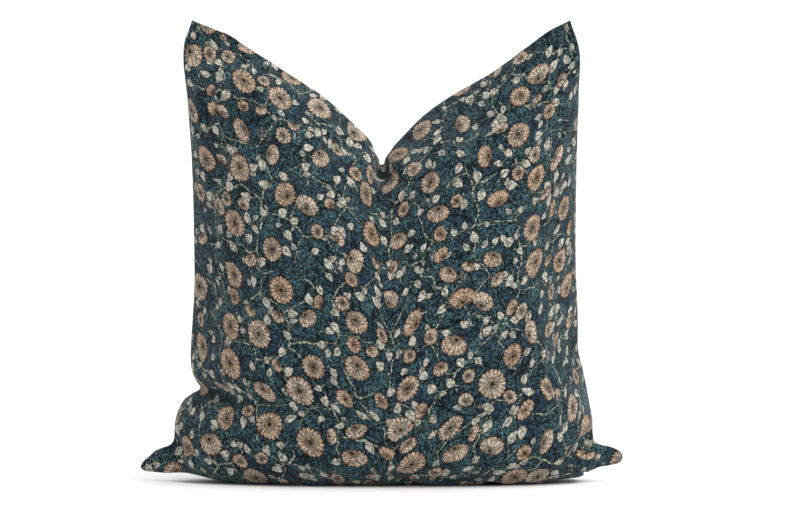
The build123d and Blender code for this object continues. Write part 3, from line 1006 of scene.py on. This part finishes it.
def area_light(name, place, energy, size, tint):
    """Soft light aimed at the middle of the pillow."""
    light = bpy.data.lights.new(name, "AREA")
    light.energy = energy
    light.size = size
    light.color = tint
    lamp = bpy.data.objects.new(name, light)
    bpy.context.collection.objects.link(lamp)
    lamp.location = place
    lamp.rotation_euler = (Vector((0, 0, HEIGHT / 2)) - lamp.location).to_track_quat("-Z", "Y").to_euler()


def stage_studio():
    """Pale floor, a bright backdrop behind, soft lights, and the camera."""
    material, tree, shader = new_material("floor_paint", 0.9)
    shader.inputs["Base Color"].default_value = (0.92, 0.92, 0.92, 1)
    mesh = bpy.data.meshes.new("floor")
    corners = [(x * FLOOR_HALF, y * FLOOR_HALF, 0) for x, y in ((-1, -1), (1, -1), (1, 1), (-1, 1))]
    mesh.from_pydata(corners, [], [(0, 1, 2, 3)])
    floor = bpy.data.objects.new("floor", mesh)
    bpy.context.collection.objects.link(floor)
    mesh.materials.append(material)

    world = bpy.data.worlds.new("studio")
    bpy.context.scene.world = world
    world.use_nodes = True
    tree = world.node_tree
    place = tree.nodes.new("ShaderNodeTexCoord")
    _, y = parts(tree, place.outputs["Generated"])
    strength = WORLD_FRONT + y.above(0.15, 0.5) * (WORLD_BACK - WORLD_FRONT)
    feed(tree, tree.nodes["Background"].inputs["Strength"], strength)
    tree.nodes["Background"].inputs["Color"].default_value = (1, 1, 1, 1)
    area_light("key", KEY_PLACE, KEY, 1.0, (1, 0.98, 0.95))
    overhead = bpy.data.lights.new("overhead", "SUN")
    overhead.energy = OVERHEAD
    overhead.angle = OVERHEAD_SPREAD
    lamp = bpy.data.objects.new("overhead", overhead)
    bpy.context.collection.objects.link(lamp)
    lamp.rotation_euler = (math.radians(12), math.radians(14), 0)
    bpy.context.scene.view_settings.view_transform = "Standard"

    camera = bpy.data.cameras.new("camera")
    camera.lens = LENS
    camera_object = bpy.data.objects.new("camera", camera)
    bpy.context.collection.objects.link(camera_object)
    sight = Vector((0, -math.cos(CAMERA_ELEVATION), math.sin(CAMERA_ELEVATION)))
    camera_object.location = AIM + CAMERA_DISTANCE * sight
    camera_object.rotation_euler = (AIM - camera_object.location).to_track_quat("-Z", "Y").to_euler()
    bpy.context.scene.camera = camera_object


linen = printed_linen()
ticking = plain_weave("ticking_weave", dye(232, 229, 220), 0.5, 0.1)
thread = spun_thread()
satin = label_satin()

# The cover: two printed faces, their folded edges, and what joins them inside
start_form = face_grid()
front_form, back_form = stuffed(start_form, start_form * MIRROR)
front_form = creased(front_form)
flat_places = np.pad(cloth_places(start_form), ((1, 1), (1, 1), (0, 0)), mode="reflect", reflect_type="odd")
back_places = flat_places * np.array([-1, 1]) + BACK_SHIFT
cover_front = sheet_object(
    "cover_front", with_lip(front_form, -1), False, linen, "linen_print", LINEN, flat_places
)
cover_back = sheet_object(
    "cover_back", with_lip(back_form, 1), True, linen, "linen_print", LINEN, back_places
)
seam_line = inset_loop(start_form, LIP)
cover_seam = thread_object("cover_seam", stitches(seam_line, SEAM_STITCH), THREAD_RADIUS, thread)
edge_line = even_points(inset_loop(start_form, ALLOWANCE), OVERLOCK_STITCH)
swing = np.where(np.arange(len(edge_line)) % 2, 1, -1)[:, None]
zigzag = edge_line + swing * np.array([0, OVERLOCK_SWING, 0])
cover_overlock = thread_object("cover_overlock", split_runs(zigzag), THREAD_RADIUS, thread)

# The insert: ticking over stuffing
insert_form = inner_face(front_form, start_form, INSERT_INSET, INSERT_GAP, 2)
insert_back_form = inner_face(back_form * MIRROR, start_form, INSERT_INSET, INSERT_GAP, 2)
insert_front = sheet_object("insert_front", insert_form, False, ticking, "ticking", TICKING)
insert_back = sheet_object("insert_back", insert_back_form * MIRROR, True, ticking, "ticking", TICKING)
fill_form = inner_face(front_form * np.array([1, 0.97, 1]), start_form, FILLING_INSET, FILLING_GAP, 3)
insert_filling = cushion_inside("insert_filling_fibre", fill_form, fibre_fill(), "stuffing")
insert_line = border_loop(insert_form) * np.array([1, 0, 1])
insert_seam = thread_object("insert_seam", stitches(insert_line, INSERT_STITCH), FINE_THREAD_RADIUS, thread)

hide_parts("cover_front_panel")
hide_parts("cover_back_panel")
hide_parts("cover_seam_thread")
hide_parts("cover_overlock_thread")
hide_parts("insert_front_panel")
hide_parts("insert_back_panel")
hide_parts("insert_filling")
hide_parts("insert_seam_thread")

# Labels, inside the back of the cover
for name, gap in (("cover_care_label", 0.5 * MM), ("insert_label", 0.9 * MM)):
    low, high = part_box(name)
    panel = label_grid(back_form * MIRROR, low, high, LINEN + gap)
    piece = sheet_object(f"{name}_satin", panel * MIRROR, True, satin, "label_satin", LABEL_THICKNESS)
    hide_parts(name)

# The zip: coils wound round their rows, and the CAD's own tapes, stitches, stops, slider and tab
nylon = coil_nylon()
for side in ("front", "back"):
    low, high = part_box(f"zip_coil_{side}")
    coil = thread_object(f"coil_{side}", [wound(low, high)], COIL_WIRE, nylon, "zip_nylon")
    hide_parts(f"zip_coil_{side}")
for name, material in (
    ("zip_tape_front", tape_weave()),
    ("zip_tape_back", tape_weave()),
    ("zip_stitching_front", thread),
    ("zip_stitching_back", thread),
    ("zip_top_stops", painted_metal()),
    ("zip_bottom_stop", painted_metal()),
    ("zip_slider", painted_metal()),
    ("zip_pull_tab", painted_metal()),
):
    node = bpy.data.objects[name]
    node.data.materials.clear()
    node.data.materials.append(material)

stage_studio()
